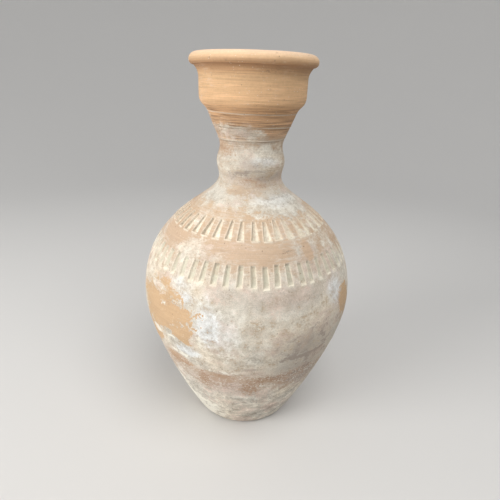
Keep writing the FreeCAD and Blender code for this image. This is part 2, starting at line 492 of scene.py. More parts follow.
def gouged(g, given, turn, climb, radius):
    """How far a point is in a flute, its relief, and its shares of the burr, the run and the painted shade
    on its left wall.

    The run goes from 0 at a flute's top to 1 at its foot, and the painted shade lies in its left inner
    corner, which the light from the left does not reach.
    """
    pitch = radius * math.tau / given["Flutes"]
    place = turn * given["Flutes"]
    item = place.floor()
    half_length = (given["Flute High"] - given["Flute Low"]) * 0.5
    middle = (given["Flute High"] + given["Flute Low"]) * 0.5
    slip, tilt, drop, broad, deep = [g.random(item, given["Seed"] + number, low, high)
                                     for number, (low, high) in enumerate(FLUTE_CHANCES)]
    rise = (climb - middle - drop) / half_length
    aside = (place - item - 0.5 - slip - tilt * rise) * pitch
    half_width = pitch * given["Flute Share"] * 0.5 * broad * (1.0 - rise * given["Flute Taper"])
    inside_side = half_width - abs(aside)
    inside_end = (1.0 - abs(rise)) * half_length
    wall = inside_side.ramp(*FLUTE_SIDE) * inside_end.ramp(*FLUTE_END)
    across = (aside / half_width).most(-1.0).least(1.0)
    deeper_down = 1.0 - rise * given["Flute Taper"]
    depth = given["Flute Depth"] * deep * wall * deeper_down * (1.0 - across * given["Flute Lean"])
    beside = (aside + half_width).bell(*SIDE_BURR) * inside_end.ramp(*SIDE_BURR_END)
    below = (rise + 1.0) * half_length
    under = below.bell(*FOOT_BURR) * inside_side.ramp(*FOOT_BURR_SIDE)
    burr = beside * SIDE_BURR_SHARE + under
    run = (0.5 - rise * 0.5) * wall
    # Painted shade: a dark band just inside each flute's left wall, which the light from the left does not
    # reach.
    nook = (aside + half_width).bell(*LEFT_WALL_SHADE) * inside_end.ramp(*LEFT_WALL_SHADE_END)
    return wall, given["Burr"] * burr - depth, burr, run, nook


def thrown_section_tree(ridges=(), seam_climb=None):
    """The node tree that turns an outline into a piece of thrown clay."""
    tree = bpy.data.node_groups.new("thrown section", "GeometryNodeTree")
    tree.interface.new_socket("Outline", in_out="INPUT", socket_type="NodeSocketGeometry")
    for name, (kind, default) in THROWN_INPUTS.items():
        socket = tree.interface.new_socket(name, in_out="INPUT", socket_type=kind)
        if default is not None:
            socket.default_value = default
    tree.interface.new_socket("Clay", in_out="OUTPUT", socket_type="NodeSocketGeometry")
    g = Graph(tree)
    group_input = g.add("NodeGroupInput")
    outline = group_input.outputs["Outline"]
    given = {name: Number(g, group_input.outputs[name]) for name in THROWN_INPUTS}

    rows = given["Outline Points"] + 1.0
    grid = g.add("GeometryNodeMeshGrid", {}, {"Vertices X": given["Columns"] + 1.0, "Vertices Y": rows})
    index = g.number("GeometryNodeInputIndex")
    column = ((index + 0.5) / rows).floor()
    row = ((index - column * rows) % given["Outline Points"] + 0.5).floor()
    turn = column / given["Columns"]

    position = g.add("GeometryNodeInputPosition").outputs[0]
    point = g.add("ShaderNodeSeparateXYZ", {}, {0: sampled(g, outline, row, "FLOAT_VECTOR", position)})
    way = g.add("ShaderNodeSeparateXYZ", {},
                {0: sampled(g, outline, row, "FLOAT_VECTOR", named(g, "way_out", "FLOAT_VECTOR"))})
    climb = Number(g, sampled(g, outline, row, "FLOAT", named(g, "climb", "FLOAT")))
    outside = Number(g, sampled(g, outline, row, "FLOAT", named(g, "outside", "FLOAT")))
    radius = Number(g, point.outputs["X"])
    height = Number(g, point.outputs["Z"])
    angle = turn * math.tau
    east = g.math("SINE", angle)
    south = g.math("COSINE", angle)

    smooth_place = g.add("ShaderNodeCombineXYZ", {},
                         {"X": radius * east, "Y": -(radius * south), "Z": height}).outputs[0]
    wheel_place = g.add("ShaderNodeCombineXYZ", {}, {
        "X": east * WHEEL_SPREAD,
        "Y": south * WHEEL_SPREAD,
        "Z": height / given["Mark Spacing"],
    }).outputs[0]

    def noise(place, scale, detail):
        return g.number("ShaderNodeTexNoise", {}, {"Vector": place, "Scale": scale, "Detail": detail})

    wobble = noise(smooth_place, WOBBLE_SCALE, 1.0)
    marks = noise(wheel_place, 1.0, 2.0)
    dents = noise(smooth_place, DENT_SCALE, 2.0)
    relief = -(wobble * given["Wobble"]) - marks * given["Wheel Marks"] - dents * given["Dents"]

    wall, gouge_relief, burr, run, nook = gouged(g, given, turn, climb, radius)
    relief = relief + gouge_relief
    ridge_mask = None
    hollow_mask = None
    for number, ridge_climb in enumerate(ridges):
        wander = g.math("SINE", angle + RIDGE_PHASE * number) * RIDGE_WANDER
        crest = (climb - wander).bell(ridge_climb, RIDGE_WIDTH)
        hollow = (climb - wander).bell(ridge_climb - HOLLOW_DROP, HOLLOW_WIDTH)
        relief = relief + crest * RIDGE_HEIGHT - hollow * HOLLOW_DEPTH
        ridge_mask = crest if ridge_mask is None else ridge_mask + crest
        hollow_mask = hollow if hollow_mask is None else hollow_mask + hollow
    if seam_climb is not None:
        relief = relief + climb.bell(seam_climb, SEAM_SWELL_WIDTH) * SEAM_SWELL
    relief = relief * outside

    out_radius = radius + Number(g, way.outputs["X"]) * relief
    place = g.add("ShaderNodeCombineXYZ", {}, {
        "X": out_radius * east,
        "Y": -(out_radius * south),
        "Z": height + Number(g, way.outputs["Z"]) * relief,
    }).outputs[0]

    clay = g.add("GeometryNodeSetPosition", {}, {"Geometry": grid.outputs["Mesh"], "Position": place})
    masks = {"gouge": wall * outside, "burr": burr * outside, "run": run * outside,
             "nook": nook * outside}
    if ridge_mask is not None:
        masks["ridge"] = ridge_mask * outside
        masks["hollow"] = hollow_mask * outside
    for name, mask in masks.items():
        clay = g.add("GeometryNodeStoreNamedAttribute", {"data_type": "FLOAT", "domain": "POINT"},
                     {"Geometry": clay.outputs["Geometry"], "Name": name, "Value": mask})
    clay = g.add("GeometryNodeMergeByDistance", {},
                 {"Geometry": clay.outputs["Geometry"], "Distance": MERGE_REACH})
    edge_angle = g.number("GeometryNodeInputMeshEdgeAngle")
    corner = g.add("FunctionNodeCompare", {"operation": "GREATER_THAN", "data_type": "FLOAT"},
                   {0: edge_angle, 1: SHARP_EDGE}).outputs[0]
    clay = g.add("GeometryNodeSetShadeSmooth", {"domain": "EDGE"},
                 {"Geometry": clay.outputs["Geometry"], "Selection": corner, "Shade Smooth": False})
    clay = g.add("GeometryNodeRealizeInstances", {}, {"Geometry": clay.outputs["Geometry"]})
    clay = g.add("GeometryNodeSetMaterial", {},
                 {"Geometry": clay.outputs["Geometry"], "Material": given["Material"]})
    g.add("NodeGroupOutput", {}, {"Clay": clay.outputs["Geometry"]})
    return tree


def thrown(name, outer, inner, columns, material, ridges=(), seam_climb=None, **sizes):
    """A piece turned from its outline by the node tree, as a plain mesh."""
    outline, points = outline_object(name + " outline", outer, inner)
    modifier = outline.modifiers.new("thrown section", "NODES")
    modifier.node_group = thrown_section_tree(ridges, seam_climb)
    values = {"Outline Points": points, "Columns": columns, "Material": material}
    values.update({key.replace("_", " ").title(): value for key, value in sizes.items()})
    for item in modifier.node_group.interface.items_tree:
        if item.in_out == "INPUT" and item.name in values:
            modifier[item.identifier] = values[item.name]
    bpy.context.view_layer.update()
    shaped = outline.evaluated_get(bpy.context.evaluated_depsgraph_get())
    mesh = bpy.data.meshes.new_from_object(shaped)
    bpy.data.objects.remove(outline)
    mesh.name = name
    piece = bpy.data.objects.new(name, mesh)
    bpy.context.scene.collection.objects.link(piece)
    return piece


# ---------------------------------------------------------------------------------------------
# Finishes. One coat is laid over the whole jar, so that it runs across the seams.
# Colours are linear red, green and blue; sizes on the surface are in millimetres.
# ---------------------------------------------------------------------------------------------

MM = 0.001
MM_IN_METRE = 1000.0
REACH = 2.5         # a patch's ragged outliers stay within this many times its size
CULL_REACH = 1.9    # a patch further than this many of its heights from a piece is left out
INWARD_REACH = 0.9  # how deep a patch goes into the jar, as a share of the radius there
Patch = namedtuple("Patch", "turn height wide tall amount")

BARE_CLAY_AND_PAINTED_LIGHT = (
    (0.000, (0.52, 0.42, 0.34)),
    (0.110, (0.48, 0.34, 0.245)),
    (0.150, (0.50, 0.345, 0.21)),
    (0.222, (0.51, 0.35, 0.21)),
    (0.240, (0.51, 0.37, 0.26)),
    (0.262, (0.51, 0.375, 0.265)),
    (0.284, (0.53, 0.385, 0.265)),
    (0.296, (0.55, 0.405, 0.275)),
    (0.312, (0.50, 0.38, 0.27)),
    (0.335, (0.49, 0.375, 0.27)),
    (0.362, (0.47, 0.33, 0.225)),
    # The cone is darker: brown clay, with painted shade where it faces down.
    (0.378, (0.48, 0.30, 0.175)),
    (0.395, (0.51, 0.30, 0.16)),
    (0.403, (0.62, 0.39, 0.215)),
    (0.427, (0.61, 0.395, 0.22)),
    # Painted shade in the dark line under the rolled rim and on its side, and a painted highlight on its
    # top.
    (0.4325, (0.48, 0.29, 0.155)),
    (0.4362, (0.33, 0.185, 0.095)),
    (0.4378, (0.37, 0.21, 0.11)),
    (0.4405, (0.47, 0.285, 0.155)),
    (0.4445, (0.68, 0.46, 0.275)),
    (0.450, (0.80, 0.59, 0.42)),
)
CHALK_LEVEL_AND_FOOT_LIGHT = (
    # Painted light: the first two levels, at the foot, are raised to whiten it.
    (0.000, 1.15), (0.078, 0.98), (0.092, 0.60), (0.118, 0.52), (0.128, 0.90), (0.222, 0.84),
    (0.240, 0.72), (0.254, 0.36), (0.272, 0.24), (0.290, 0.28), (0.302, 0.54), (0.314, 0.54),
    (0.330, 0.50), (0.340, 0.60), (0.358, 0.54), (0.372, 0.36), (0.388, 0.14), (0.396, 0.0),
    (0.450, 0.0),
)
SOFT_LEVEL = (
    (0.000, 0.10), (0.120, 0.05), (0.208, 0.05), (0.230, 0.80), (0.252, 1.00), (0.310, 1.00),
    (0.450, 1.00),
)
MOTTLE_LEVEL = ((0.000, 1.7), (0.090, 1.8), (0.128, 1.3), (0.200, 1.05), (0.450, 1.0))
WHEEL_LEVEL = (
    (0.000, 0.20), (0.300, 0.25), (0.345, 0.45), (0.362, 0.90), (0.370, 1.50), (0.394, 1.60),
    (0.400, 0.80), (0.410, 0.65), (0.432, 0.60), (0.437, 0.40), (0.450, 0.22),
)
CHALK_PATCHES_AND_FOOT_LIGHT = (
    Patch(-47, 190, 48, 31, -1.25),     # where the clay shows on the left of the belly
    Patch(-31, 168, 20, 12, -1.0),
    Patch(-60, 148, 24, 20, -1.0),
    Patch(-40, 128, 26, 9, -0.6),
    Patch(-78, 150, 22, 20, -1.1),
    Patch(63, 192, 18, 22, -1.1),
    Patch(-24, 168, 10, 10, 0.8),
    Patch(-36, 176, 10, 4, 0.75),
    Patch(-44, 199, 8, 4, 0.65),
    Patch(-40, 160, 9, 3, 0.8),
    Patch(-36, 139, 16, 4, 0.7),
    Patch(-58, 266, 26, 8, -0.7),
    Patch(-37, 258, 22, 12, 0.5),
    Patch(6, 262, 60, 8, -0.15),
    Patch(-22, 254, 16, 7, 0.3),
    Patch(60, 266, 26, 12, 0.35),
    Patch(-54, 157, 11, 5, 2.2),
    Patch(-50, 212, 18, 6, 0.8),
    Patch(-12, 155, 16, 10, 0.5),
    # Painted light: this patch whitens the left of the foot, where the light from the left falls.
    Patch(-45, 26, 34, 30, 0.7),
    Patch(-60, 60, 30, 26, 0.5),
    Patch(-80, 134, 14, 6, 2.0),
    Patch(-12, 126, 26, 3, 0.7),
    Patch(42, 299, 44, 11, 1.5),
    Patch(40, 378, 40, 12, -0.5),
    Patch(44, 350, 24, 7, 0.5),
    Patch(-14, 376, 30, 7, 0.6),
    Patch(-40, 303, 34, 7, 0.55),
    Patch(-10, 307, 30, 7, -0.3),
    Patch(-18, 312, 16, 6, -0.4),
    Patch(39, 259, 5, 8, -1.0),
    Patch(45, 258, 4, 9, 0.35),
    Patch(32, 262, 4, 7, 0.3),
    Patch(2, 371, 17, 7, 0.4),
    Patch(-62, 356, 20, 7, -0.35),
    Patch(-12, 350, 14, 5, 0.5),
    Patch(30, 350, 20, 7, 0.4),
    Patch(150, 205, 42, 26, -1.5),
    Patch(128, 188, 20, 12, -1.0),
    Patch(-138, 150, 30, 22, -1.3),
    Patch(112, 132, 26, 14, -1.0),
    Patch(-165, 300, 40, 9, 0.6),
    Patch(120, 160, 12, 6, 1.8),
    Patch(175, 268, 40, 7, 0.6),
)
BLUE_CHALK = (
    Patch(-19, 192, 14, 24, 1.5),
    Patch(-30, 214, 14, 8, 1.2),
    Patch(-31, 149, 17, 10, 1.7),
    Patch(-12, 180, 22, 24, 0.7),
    Patch(-36, 226, 16, 10, 0.8),
    Patch(52, 214, 16, 18, 1.1),
    Patch(40, 302, 34, 6, 0.9),
    Patch(24, 343, 16, 5, 0.8),
    Patch(165, 150, 40, 26, 0.8),
)
GREY_STAINS_AND_SHADE = (
    # Partly painted shade: the first five patches and the one at 46 degrees and 105 mm, low on the right
    # of the belly, darken it where it turns down away from the light.
    Patch(32, 160, 34, 22, 1.2),
    Patch(28, 130, 36, 16, 0.8),
    Patch(40, 104, 30, 16, 0.7),
    Patch(66, 158, 30, 34, 0.5),
    Patch(50, 150, 30, 40, 0.5),
    Patch(28, 146, 36, 3, 1.3),
    Patch(2, 136, 20, 2.5, 0.8),
    Patch(-5, 309, 38, 6, 0.5),
    Patch(30, 326, 26, 5, 0.9),
    Patch(0, 340, 14, 4, 0.5),
    Patch(6, 317, 30, 5, 0.4),
    Patch(-14, 331, 12, 3, 2.0),
    Patch(4, 333, 16, 2, 1.1),
    Patch(-40, 326, 24, 4, 0.6),
    Patch(46, 105, 34, 34, 0.5),
    Patch(-10, 345, 9, 3, 0.4),
    Patch(-150, 200, 44, 30, 0.7),
    Patch(140, 322, 30, 8, 1.0),
    Patch(95, 60, 40, 22, 0.5),
    Patch(180, 130, 40, 5, 1.0),
)
RED_STAINS = (
    Patch(-42, 122, 24, 11, 0.8),
    Patch(-24, 106, 8, 14, 1.1),
    Patch(14, 114, 24, 7, 1.4),
    Patch(4, 99, 10, 12, 1.1),
    Patch(-12, 120, 16, 4, 0.7),
    Patch(36, 119, 20, 5, 0.8),
    Patch(2, 323, 14, 4, 0.8),
    Patch(18, 317, 12, 3, 0.8),
    Patch(-7, 152, 8, 6, 0.4),
    Patch(-14, 160, 5, 4, 0.4),
    Patch(24, 103, 12, 6, 0.6),
    Patch(4, 190, 10, 7, 0.4),
    Patch(-52, 352, 20, 6, 0.6),
    Patch(-100, 98, 30, 14, 1.0),
    Patch(150, 104, 30, 9, 1.1),
    Patch(170, 92, 16, 12, 0.9),
)
PINK_WASHES = (
    Patch(-14, 104, 44, 24, 1.3),
    Patch(-56, 112, 40, 26, 0.6),
    Patch(36, 108, 38, 18, 1.2),
    Patch(20, 222, 50, 14, 0.8),
    Patch(-12, 226, 24, 10, 0.5),
    Patch(6, 321, 46, 9, 0.8),
    Patch(-2, 338, 14, 5, 0.6),
    Patch(-4, 262, 60, 10, 0.4),
    Patch(22, 40, 36, 10, 0.4),
    Patch(160, 104, 60, 18, 1.0),
    Patch(-130, 220, 60, 14, 0.7),
)
SCRATCHES = (Patch(31, 347, 8, 5, 1.0), Patch(8, 339, 5, 3.5, 1.0), Patch(20, 433, 10, 3, 1.0),
             Patch(24, 262, 9, 2, 1.0), Patch(-120, 345, 9, 5, 1.0))

WARM_CHALK = (0.66, 0.60, 0.50, 1.0)
COOL_CHALK = (0.57, 0.55, 0.49, 1.0)
PINK_CHALK = (0.50, 0.405, 0.345, 1.0)
PINK_WASH = (0.45, 0.36, 0.315, 1.0)
BLUE_WHITE = (0.63, 0.66, 0.67, 1.0)
THICK_CHALK = (0.78, 0.75, 0.66, 1.0)
GREY_MAUVE = (0.315, 0.265, 0.225, 1.0)
RED_BROWN = (0.37, 0.235, 0.15, 1.0)
PALE_GROOVE = (0.80, 0.75, 0.62, 1.0)
GREEN_GROOVE = (0.52, 0.51, 0.40, 1.0)
# Dark brown for dirt in pits and scratches, the dark line under each wheel ridge, and painted shade in the
# flutes.
DARK_DIRT_AND_SHADE = (0.16, 0.12, 0.085, 1.0)

SHEEN = 0.35
BUMP_STRENGTH = 0.75
BUMP_DEPTH = 0.001


class Coat:
    """The surface of one piece, and the marks worked out from a point's place on it."""

    def __init__(self, graph, low, high):
        self.graph = graph
        self.low = low * MM_IN_METRE
        self.high = high * MM_IN_METRE
        self.place = graph.add("ShaderNodeTexCoord").outputs["Object"]
        # The gradient runs along X, so the jar is laid along X for it.
        laid_down = self.mapped("POINT", Rotation=(0.0, math.radians(90), 0.0),
                                Scale=(1.0, 1.0, 1.0 / JAR_HEIGHT))
        self.height = graph.number("ShaderNodeTexGradient", {"gradient_type": "LINEAR"},
                                   {"Vector": laid_down}, "Fac")
        self.broad = self.noise(52.0, 3.0)
        self.clouds = self.noise(24.0, 4.0, 1.4, 70.0)
        self.middling = self.noise(9.0, 4.0, 1.2)
        self.fine = self.noise(2.6, 4.0)
        self.grain = self.noise(0.9, 2.0, 1.0, 40.0)
        self.bands = self.noise(70.0, 2.0, 9.0)
        self.lines = self.noise(36.0, 3.0, 30.0)
        self.fine_lines = self.noise(42.0, 2.0, 80.0)
        self.brushed = self.noise(7.0, 4.0, 5.0, 150.0)
        self.ragged = self.clouds * 1.5 + self.middling * 1.2 + self.fine * 1.3

    def mapped(self, kind, **inputs):
        inputs["Vector"] = self.place
        return self.graph.add("ShaderNodeMapping", {"vector_type": kind}, inputs).outputs[0]

    def in_millimetres(self, shift, flat=1.0):
        return self.mapped("POINT", Location=(shift, shift, shift),
                           Scale=(MM_IN_METRE, MM_IN_METRE, MM_IN_METRE * flat))

    def noise(self, size, detail=2.0, flat=1.0, shift=0.0):
        """Soft mottling about 0, with marks of a size; flat above 1 draws them out round the jar."""
        place = self.in_millimetres(shift, flat)
        noise = self.graph.number("ShaderNodeTexNoise", {},
                                  {"Vector": place, "Scale": 1.0 / size, "Detail": detail})
        return noise - 0.5

    def dots(self, spacing, size, shift=0.0):
        """Round dots a spacing apart."""
        place = self.in_millimetres(shift)
        distance = self.graph.number("ShaderNodeTexVoronoi", {},
                                     {"Vector": place, "Scale": 1.0 / spacing}, "Distance")
        return 1.0 - distance.ramp(0.4 * size / spacing, size / spacing)

    def closeness(self, patch):
        """1 in the middle of a patch, falling evenly to 0 at REACH times its size."""
        turn = math.radians(patch.turn)
        radius = on_line(OUTSIDE, patch.height * MM).x
        middle = (radius * math.sin(turn), -radius * math.cos(turn), patch.height * MM)
        size = (patch.wide * MM, INWARD_REACH * radius, patch.tall * MM)
        place = self.mapped("TEXTURE", Location=middle, Rotation=(0.0, 0.0, turn),
                            Scale=tuple(REACH * side for side in size))
        return self.graph.number("ShaderNodeTexGradient", {"gradient_type": "SPHERICAL"},
                                 {"Vector": place}, "Fac")

    def patches(self, table, ragged, soft=0.1):
        """The sum of the patches of a table that reach this piece, with ragged edges."""
        outer_edge = REACH - 1.0 - soft
        inner_edge = REACH - 0.9 + 2.0 * soft
        total = None
        for patch in table:
            reach = patch.tall * CULL_REACH
            if patch.height + reach < self.low or patch.height - reach > self.high:
                continue
            close = self.closeness(patch)
            mask = self.graph.math("MULTIPLY_ADD", close, REACH, ragged).ramp(outer_edge, inner_edge)
            total = self.graph.math("MULTIPLY_ADD", mask, patch.amount, 0.0 if total is None else total)
        return total

    def by_height(self, table):
        """A colour that follows the height, from a table of heights and colours."""
        return self.height_ramp(table).outputs["Color"]

    def number_by_height(self, table):
        """A number that follows the height, from a table of heights and numbers."""
        return Number(self.graph, self.height_ramp(table).outputs["Alpha"])

    def height_ramp(self, table):
        settings = {"stops": [(height / JAR_HEIGHT, value) for height, value in table]}
        return self.graph.add("ShaderNodeValToRGB", settings, {0: self.height})

    def blend(self, amount, under, over, kind="MIX"):
        node = self.graph.add("ShaderNodeMix", {"data_type": "RGBA", "blend_type": kind},
                              {0: amount, 6: under, 7: over})
        return node.outputs[2]

    def attribute(self, name):
        """A mask that the piece's node tree stored."""
        return self.graph.number("ShaderNodeAttribute", {"attribute_name": name}, {}, "Fac")

    def laid_over(self, colour, table, ragged, overlay_colour, strength):
        """A colour with the patches of a table laid over it: stains, washes and painted shade."""
        amount = self.patches(table, ragged, 0.35)
        if amount is None:
            return colour
        return self.blend((amount * strength).least(0.9).most(0.0), colour, overlay_colour)


def chalk_cover_and_foot_light(c):
    """How much chalk lies on the clay, whitened at the foot as painted light: its thin haze, its crust and
    its thick spots.
    """
    soft = c.number_by_height(SOFT_LEVEL)
    level = c.number_by_height(CHALK_LEVEL_AND_FOOT_LIGHT)
    cover = level + c.broad * 0.7 + c.clouds * 0.6 + c.middling * 0.5 + c.lines * 0.3
    cover = cover + c.brushed * soft * 0.7
    placed = c.patches(CHALK_PATCHES_AND_FOOT_LIGHT, c.ragged, 0.1 + 0.35 * soft)
    if placed is not None:
        cover = cover + placed
    haze = cover.ramp(0.05, 0.75)
    crumbled = c.fine * (1.5 - 1.1 * soft) + c.middling * (1.0 - 0.6 * soft)
    crust = (cover + crumbled).ramp(0.44 - 0.26 * soft, 0.68 + 0.26 * soft)
    flakes = (cover + crumbled).ramp(0.36, 0.50) * (1.0 - cover.ramp(0.60, 0.82))
    scattered = (c.noise(13.0, 2.0, 2.0, 37.0) + 0.5).ramp(0.35, 0.51)
    flakes = flakes * (c.noise(2.4, 3.0, 1.6, 23.0) + 0.5).ramp(0.53, 0.62) * scattered
    flakes = flakes * (1.0 - 0.8 * soft)
    thick = (cover + c.fine * 0.9 + c.middling * 0.5).ramp(1.30, 1.55) * (1.0 - 0.7 * soft)
    return haze, crust, thick.most(flakes)


def clay_colour_and_painted_light(c):
    """The bare clay's colour, with painted shade under the rim and on the cone and a painted highlight on
    the rim's top, and the wheel lines in it.
    """
    colour = c.by_height(BARE_CLAY_AND_PAINTED_LIGHT)
    turned = c.number_by_height(WHEEL_LEVEL)
    wheel = (c.bands * 0.5 + c.lines * 0.8 + c.fine_lines * 1.1) * turned
    tone = 1.0 + wheel + c.fine * 0.2 + c.clouds * 0.2 + c.broad * 0.2 + c.grain * 0.16
    return c.blend(1.0, colour, tone, "MULTIPLY"), wheel


def chalk_colour(c, wheel):
    """The chalk's colour: warm and cool, washed with pink and blue-white, and mottled."""
    chalk = c.blend((c.broad * 1.6 + c.middling * 0.6 + 0.5).ramp(0.2, 0.8), WARM_CHALK, COOL_CHALK)
    pink = (c.clouds * 1.2 + c.fine * 0.5 + c.noise(34.0, 3.0, 1.0, 120.0) * 1.2).ramp(-0.02, 0.28)
    chalk = c.blend(pink * 0.8, chalk, PINK_CHALK)
    chalk = c.laid_over(chalk, PINK_WASHES, c.ragged * 0.8, PINK_WASH, 0.7)
    chalk = c.laid_over(chalk, BLUE_CHALK, c.ragged * 0.8, BLUE_WHITE, 0.75)
    mottle = c.clouds * 0.75 + c.middling * 0.9 + c.fine * 0.6 + c.grain * 0.8
    tone = 1.0 + mottle * c.number_by_height(MOTTLE_LEVEL) + wheel * 0.5
    return c.blend(1.0, chalk, tone, "MULTIPLY")


def filled_flutes(c, colour, filling):
    """A colour with what gathers in the flutes, pale or green, and their pale walls and burrs, partly
    chalk and partly painted highlight, with painted shade inside the left walls and, in green flutes,
    under the tops.
    """
    gouge, burr, run, nook = [c.attribute(name) for name in ("gouge", "burr", "run", "nook")]
    edge = gouge.ramp(0.02, 0.3) * (1.0 - gouge.ramp(0.6, 0.98))
    filled = gouge.ramp(0.4, 1.0) * (0.75 + c.fine * 1.5 + c.middling)
    if filling == "green":
        left_wall_shade_amount = 0.18
        colour = c.blend(filled * 0.8, colour, GREEN_GROOVE)
        # Paler at each green flute's foot: chalk, and a painted highlight on the upward-facing end.
        colour = c.blend(filled * run.ramp(0.72, 0.98) * 0.7, colour, PALE_GROOVE)
        # Painted shadow under the top end of each green flute.
        top_shadow = gouge.ramp(0.0, 0.4) * (1.0 - run.ramp(0.02, 0.13))
        colour = c.blend(top_shadow * 0.5, colour, DARK_DIRT_AND_SHADE)
    else:
        left_wall_shade_amount = 0.45
        colour = c.blend(filled * run.ramp(-0.3, 0.6), colour, PALE_GROOVE)
    # Pale walls and burrs: chalk, with a painted highlight where the raised lips and the walls catch the
    # light.
    colour = c.blend((edge * 0.4 + burr * 0.9).least(1.0) * (0.95 + c.fine), colour, PALE_GROOVE)
    # Painted shade inside each flute's left wall.
    return c.blend(nook * (left_wall_shade_amount + c.fine * 2.0), colour, DARK_DIRT_AND_SHADE)


def ridge_highlights(c, colour):
    """A colour with a painted highlight along the wheel ridges, uneven round the jar, and a dark line in
    the hollow under each.
    """
    ridge, hollow = [c.attribute(name) for name in ("ridge", "hollow")]
    uneven = c.noise(40.0, 1.0, 1.0, 31.0) * 2.5 + c.middling
    # Painted highlight along each ridge's crest.
    colour = c.blend(ridge * (0.9 + uneven).most(0.15).least(1.0), colour, WARM_CHALK)
    return c.blend(hollow * (0.12 + uneven * 0.4).most(0.02), colour, DARK_DIRT_AND_SHADE)


def specked(c, colour, crust):
    """A colour with stubs, pits, flecks and grit, and the masks of the first three."""
    bare_share = 1.0 - crust
    chosen = c.noise(16.0, 2.0, 1.0, 90.0) + 0.5
    pits = c.dots(5.5, 0.8) * chosen.ramp(0.46, 0.60)
    stubs = c.dots(8.5, 1.7, 63.0) * chosen.ramp(0.44, 0.62)
    flecks = c.dots(3.0, 0.5, 17.0) * (c.noise(20.0, 2.0, 1.0, 55.0) + 0.5).ramp(0.42, 0.62)
    grit = c.dots(1.9, 0.36, 29.0) * (0.4 + bare_share * 0.6)
    colour = c.blend(stubs * 0.35, colour, RED_BROWN)
    colour = c.blend(pits * 0.6, colour, DARK_DIRT_AND_SHADE)
    colour = c.blend(flecks * 0.8, colour, THICK_CHALK)
    return c.blend(grit * 0.3, colour, RED_BROWN), pits, stubs, flecks


def coat(name, node, smooth=0.0, filling="", ridged=False):
    """The finish of a piece: bare clay, wheel lines, chalk, stains, pits and what gathers in grooves, with
    painted shade and highlights.
    """
    material = bpy.data.materials.new(name)
    material.use_nodes = True
    g = Graph(material.node_tree)
    shader = material.node_tree.nodes["Principled BSDF"]
    lowest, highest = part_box(node)
    c = Coat(g, lowest.z, highest.z)

    haze, crust, thick = chalk_cover_and_foot_light(c)
    colour, wheel = clay_colour_and_painted_light(c)
    chalk = chalk_colour(c, wheel)
    colour = c.blend(haze * 0.5, colour, chalk)
    colour = c.blend(crust * (0.72 + c.middling * 0.6), colour, chalk)
    streaks = c.ragged * 1.3 + c.lines * 0.9
    colour = c.laid_over(colour, RED_STAINS, streaks, RED_BROWN, 0.8 + c.fine * 3.0)
    # Grey stains, and painted shade low on the right of the belly.
    colour = c.laid_over(colour, GREY_STAINS_AND_SHADE, streaks, GREY_MAUVE, 0.5 + c.middling * 1.2)
    colour = c.blend(thick * 0.8, colour, THICK_CHALK)
    if filling:
        colour = filled_flutes(c, colour, filling)
    if ridged:
        colour = ridge_highlights(c, colour)
    colour, pits, stubs, flecks = specked(c, colour, crust)
    scratched = c.patches(SCRATCHES, c.ragged * 0.3)
    cuts = None
    if scratched is not None:
        line = 1.0 - abs(c.noise(5.0, 0.5, 1.6, 11.0)).ramp(0.006, 0.022)
        cuts = line * scratched
        colour = c.blend(cuts * 0.5, colour, DARK_DIRT_AND_SHADE)

    shader.inputs["Specular IOR Level"].default_value = SHEEN
    rough = 0.93 - 0.22 * smooth - c.fine * 0.12 + crust * (0.03 + 0.18 * smooth)
    g.tree.links.new(colour, shader.inputs["Base Color"])
    g.tree.links.new(rough.least(1.0).socket, shader.inputs["Roughness"])
    height = crust * (0.22 + c.fine * 0.25) + thick * 0.25 + c.grain * (0.22 - 0.1 * smooth) + c.fine * 0.3
    height = height + wheel * 1.4 - pits * 0.5 - stubs * 0.2 + flecks * 0.15
    if cuts is not None:
        height = height - cuts * 0.35
    bump = g.add("ShaderNodeBump", {},
                 {"Strength": BUMP_STRENGTH, "Distance": BUMP_DEPTH, "Height": height})
    g.tree.links.new(bump.outputs["Normal"], shader.inputs["Normal"])
    return material


# ---------------------------------------------------------------------------------------------
# The pieces
# ---------------------------------------------------------------------------------------------

INSIDE_SPACING = 0.008
SOLE_SPACING = 0.006
HEEL_SPACING = 0.0008
HEEL_PULL = 0.25
HEEL_LEAN = 0.1
RIM_SPACING = 0.0007
RIM_UNDER_SPACING = 0.0015


def ring(name, low, high, spacing, columns, material, **marks):
    """A section between two seams, with its outside rows a spacing apart."""
    low_outer, low_inner = low
    high_outer, high_inner = high
    outer = spaced(stretch(OUTSIDE, low_outer.z, high_outer.z), spacing)
    inner = spaced(stretch(INSIDE, low_inner.z, high_inner.z), INSIDE_SPACING)
    return thrown(name, outer, inner[::-1], columns, material, **marks)


def band_of(heights):
    """A band of flutes between two heights."""
    low, high = heights
    return {"flute_low": climb_of(low), "flute_high": climb_of(high)}


def make_base_slab():
    heel = on_line(OUTSIDE, HEEL_ROUND)
    sole = at(BASE_RADIUS - HEEL_ROUND, 0.0)
    corner = bend(sole, at(BASE_RADIUS - HEEL_PULL * HEEL_ROUND, 0.0),
                  at(BASE_RADIUS + HEEL_LEAN * HEEL_ROUND, HEEL_PULL * HEEL_ROUND), heel)
    side = joined(corner, stretch(OUTSIDE, HEEL_ROUND, FLOOR_THICK))
    outer = joined(spaced([at(0.0, 0.0), sole], SOLE_SPACING), spaced(side, HEEL_SPACING))
    top = spaced([on_line(OUTSIDE, FLOOR_THICK), at(0.0, FLOOR_THICK)], INSIDE_SPACING)
    return thrown("thrown_base_slab", outer, top[1:], FINE_COLUMNS, coat("chalked base clay", "base_slab"))


